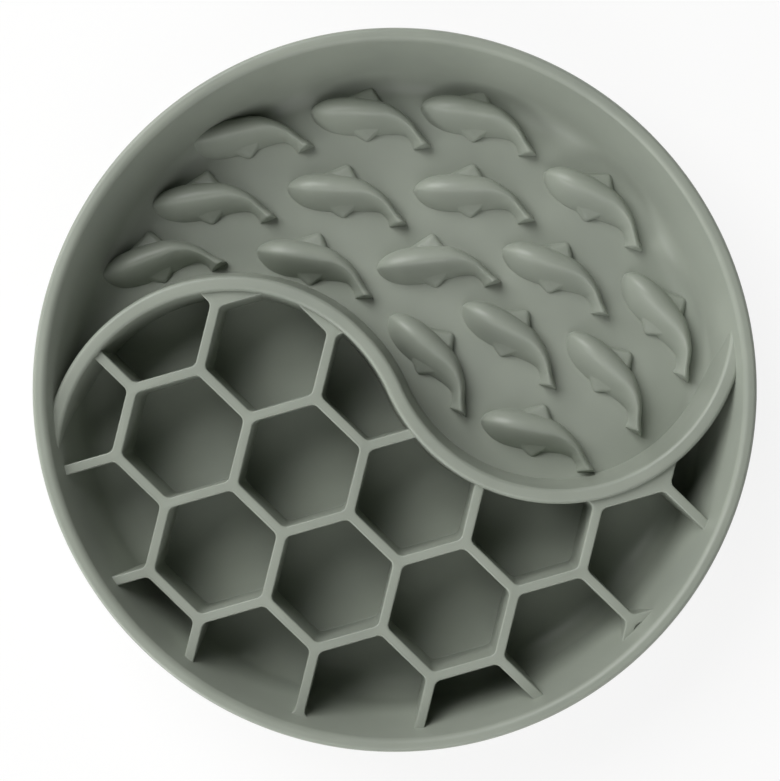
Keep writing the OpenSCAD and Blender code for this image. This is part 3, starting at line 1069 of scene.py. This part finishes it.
    def fish(self) -> Object:
        """Joins the body and the two fins into one closed form."""
        body = self.body()
        fins = [
            self.fin("back_fin", self.back_fin_at, self.back_fin, self.back_fin_h,
                     self.back_fin_fall, 1.0),
            self.fin("belly_fin", self.belly_fin_at, self.belly_fin, self.belly_fin_h,
                     self.belly_fin_fall, -1.0),
        ]
        for fin in fins:
            join = body.modifiers.new(fin.name, "BOOLEAN")
            join.operation, join.solver, join.object = "UNION", "EXACT", fin
        graph = bpy.context.evaluated_depsgraph_get()
        mesh = bpy.data.meshes.new_from_object(body.evaluated_get(graph), depsgraph=graph)
        body.modifiers.clear()
        body.data = mesh
        shade(mesh)
        discard(*fins)
        return body

    def build(self, room: Object) -> Object:
        """Sets the fish on the tray and dresses the shoal.

        Args:
            room: The helper that trims the fish that reach into the wall.

        Returns:
            The piece.
        """
        p = self.plan
        fish = self.fish()
        spots = np.array(self.shoal)
        places = turned(spots[:, :2] * self.tray_r, p.swirl_turn)
        start = mesh_object("fish_shoal", np.column_stack([places, np.full(len(places), p.tray_z)]), [])
        heading = start.data.attributes.new("heading", "FLOAT", "POINT")
        heading.data.foreach_set("value", np.radians(spots[:, 2] + p.swirl_turn).astype(np.float32))
        recipe = NodeRecipe("fish_rows")
        tree = recipe.tree
        nub = recipe.take_shape("Fish", fish)
        turn = add_node(tree, "GeometryNodeInputNamedAttribute", {"data_type": "FLOAT"}, {"Name": "heading"})
        facing = add_node(tree, "ShaderNodeCombineXYZ", inputs={"Z": turn.outputs["Attribute"]}).outputs[0]
        row = add_node(tree, "GeometryNodeInstanceOnPoints", inputs={
            "Points": recipe.entry.outputs["Geometry"], "Instance": nub, "Rotation": facing})
        # The trim takes each instance as a shape of its own, so the rows are made one shape first
        rows = add_node(tree, "GeometryNodeRealizeInstances", inputs={"Geometry": row.outputs["Instances"]})
        recipe.close(recipe.trim(rows.outputs["Geometry"], room), self.finish.material())
        made = recipe.run(start)
        discard(fish)
        return self.dress(made, [f"fish_{i + 1:02d}" for i in range(len(self.shoal))])


@dataclass(frozen=True)
class SoftBox:
    """A square studio lamp behind a diffuser, aimed at the bowl. Its distance and side are in metres."""

    name: str
    azimuth: float
    elevation: float
    distance: float
    side: float
    watts: float

    def build(self) -> None:
        """Hangs the lamp. Azimuth 0 is along x and 90 along y."""
        lamp = bpy.data.lights.new(self.name, "AREA")
        lamp.shape, lamp.size, lamp.energy = "SQUARE", self.side, self.watts
        made = bpy.data.objects.new(self.name, lamp)
        a, e = math.radians(self.azimuth), math.radians(self.elevation)
        away = Vector((math.cos(a) * math.cos(e), math.sin(a) * math.cos(e), math.sin(e)))
        made.location = away * self.distance
        made.rotation_euler = away.to_track_quat("Z", "Y").to_euler()
        bpy.context.scene.collection.objects.link(made)


@dataclass
class Studio:
    """The pale floor, the white surround, the lamps and the camera above the bowl."""

    plan: BowlPlan
    lamps: tuple[SoftBox, ...] = (
        SoftBox("key_softbox", 133.0, 44.0, 1.4, 1.1, 20.8),
        SoftBox("front_softbox", 270.0, 50.0, 1.4, 0.9, 4.8),
        SoftBox("left_fill", 222.0, 15.0, 1.4, 0.9, 11.5),
        SoftBox("right_fill", 300.0, 15.0, 1.4, 0.9, 4.0),
    )
    # The surround is white at the height of the table and falls off to a dark ceiling
    surround: float = 0.8
    surround_fall: float = 8.0
    floor_side: float = 6000.0
    floor_colour: str = "#F7F7F5"
    # Share of the floor's own shading that the camera sees, which holds the bowl's shadow
    floor_shading: float = 0.15
    image: tuple[int, int] = (780, 781)
    # The lens looks straight down from this far above the rim
    camera_rise: float = 610.0
    pixels_per_mm: float = 3.628
    bowl_pixel: tuple[float, float] = (394.7, 389.8)
    sensor: float = 36.0

    def build(self) -> None:
        """Builds the whole studio."""
        self.build_floor()
        self.build_world()
        for lamp in self.lamps:
            lamp.build()
        self.build_camera()
        bpy.context.scene.view_settings.view_transform = "Standard"

    def seen_directly(self, tree: NodeTree) -> NodeSocket:
        """Adds nodes that tell whether a ray comes from the camera, a reflection or through glass.

        Args:
            tree: The tree that takes the nodes.

        Returns:
            A socket that is 1 for such a ray and 0 for light that bounces.
        """
        path = add_node(tree, "ShaderNodeLightPath").outputs
        glossy = calc(tree, "MAXIMUM", path["Is Camera Ray"], path["Is Glossy Ray"])
        return calc(tree, "MAXIMUM", glossy, path["Is Transmission Ray"])

    def build_floor(self) -> None:
        """Lays the floor, which looks white and keeps a soft shadow."""
        made = mesh_object("studio_floor", self.floor_side / 2.0 * np.array(
            [[-1, -1, 0], [1, -1, 0], [1, 1, 0], [-1, 1, 0]], float), [[0, 1, 2, 3]])
        paper = bpy.data.materials.new("white_paper_sweep")
        paper.use_nodes = True
        tree = paper.node_tree
        tree.nodes.clear()
        matt = add_node(tree, "ShaderNodeBsdfDiffuse", inputs={"Color": linear(self.floor_colour)})
        white = add_node(tree, "ShaderNodeEmission", inputs={"Color": (1.0, 1.0, 1.0, 1.0), "Strength": 1.0})
        amount = calc(tree, "MULTIPLY", self.seen_directly(tree), 1.0 - self.floor_shading)
        mixed = add_node(tree, "ShaderNodeMixShader", inputs={
            0: amount, 1: matt.outputs[0], 2: white.outputs[0]})
        add_node(tree, "ShaderNodeOutputMaterial", inputs={"Surface": mixed.outputs[0]})
        made.data.materials.append(paper)

    def build_world(self) -> None:
        """Fills the surround with soft light, white around the table and dark overhead."""
        world = bpy.data.worlds.new("white_surround")
        bpy.context.scene.world = world
        world.use_nodes = True
        tree = world.node_tree
        tree.nodes.clear()
        way = add_node(tree, "ShaderNodeTexCoord").outputs["Generated"]
        height = add_node(tree, "ShaderNodeSeparateXYZ", inputs={0: way}).outputs["Z"]
        depth = add_node(tree, "ShaderNodeMath", {"operation": "SUBTRACT", "use_clamp": True}, {
            0: 1.0, 1: height}).outputs[0]
        level = calc(tree, "MULTIPLY", calc(tree, "POWER", depth, self.surround_fall), self.surround)
        light = add_node(tree, "ShaderNodeBackground", inputs={
            "Color": (1.0, 1.0, 1.0, 1.0), "Strength": level})
        add_node(tree, "ShaderNodeOutputWorld", inputs={"Surface": light.outputs[0]})

    def build_camera(self) -> None:
        """Hangs the camera over the bowl's axis, framed as the photograph is."""
        lens = bpy.data.cameras.new("top_camera")
        width, height = self.image
        lens.sensor_width = self.sensor
        lens.lens = self.sensor / max(width, height) * self.camera_rise * self.pixels_per_mm
        lens.shift_x = (width / 2.0 - self.bowl_pixel[0]) / max(width, height)
        lens.shift_y = (self.bowl_pixel[1] - height / 2.0) / max(width, height)
        lens.clip_start, lens.clip_end = 0.01, 20.0
        camera = bpy.data.objects.new("top_camera", lens)
        camera.location = (0.0, 0.0, (self.plan.bowl_h + self.camera_rise) * MM)
        bpy.context.scene.collection.objects.link(camera)
        bpy.context.scene.camera = camera


def main() -> None:
    """Builds the studio, then the bowl's parts in order, and logs the points of each piece."""
    logging.basicConfig(level=logging.INFO, format="%(message)s")
    plan, finish = BowlPlan(), MouldedSilicone()
    Studio(plan).build()
    room = TrimmingRoom(plan).build()
    BowlShell(plan, finish).build()
    FishTray(plan, finish).build()
    SDivider(plan, finish).build(room)
    Honeycomb(plan, finish).build()
    FishShoal(plan, finish).build(room)
    discard(room)


if __name__ == "__main__":
    main()
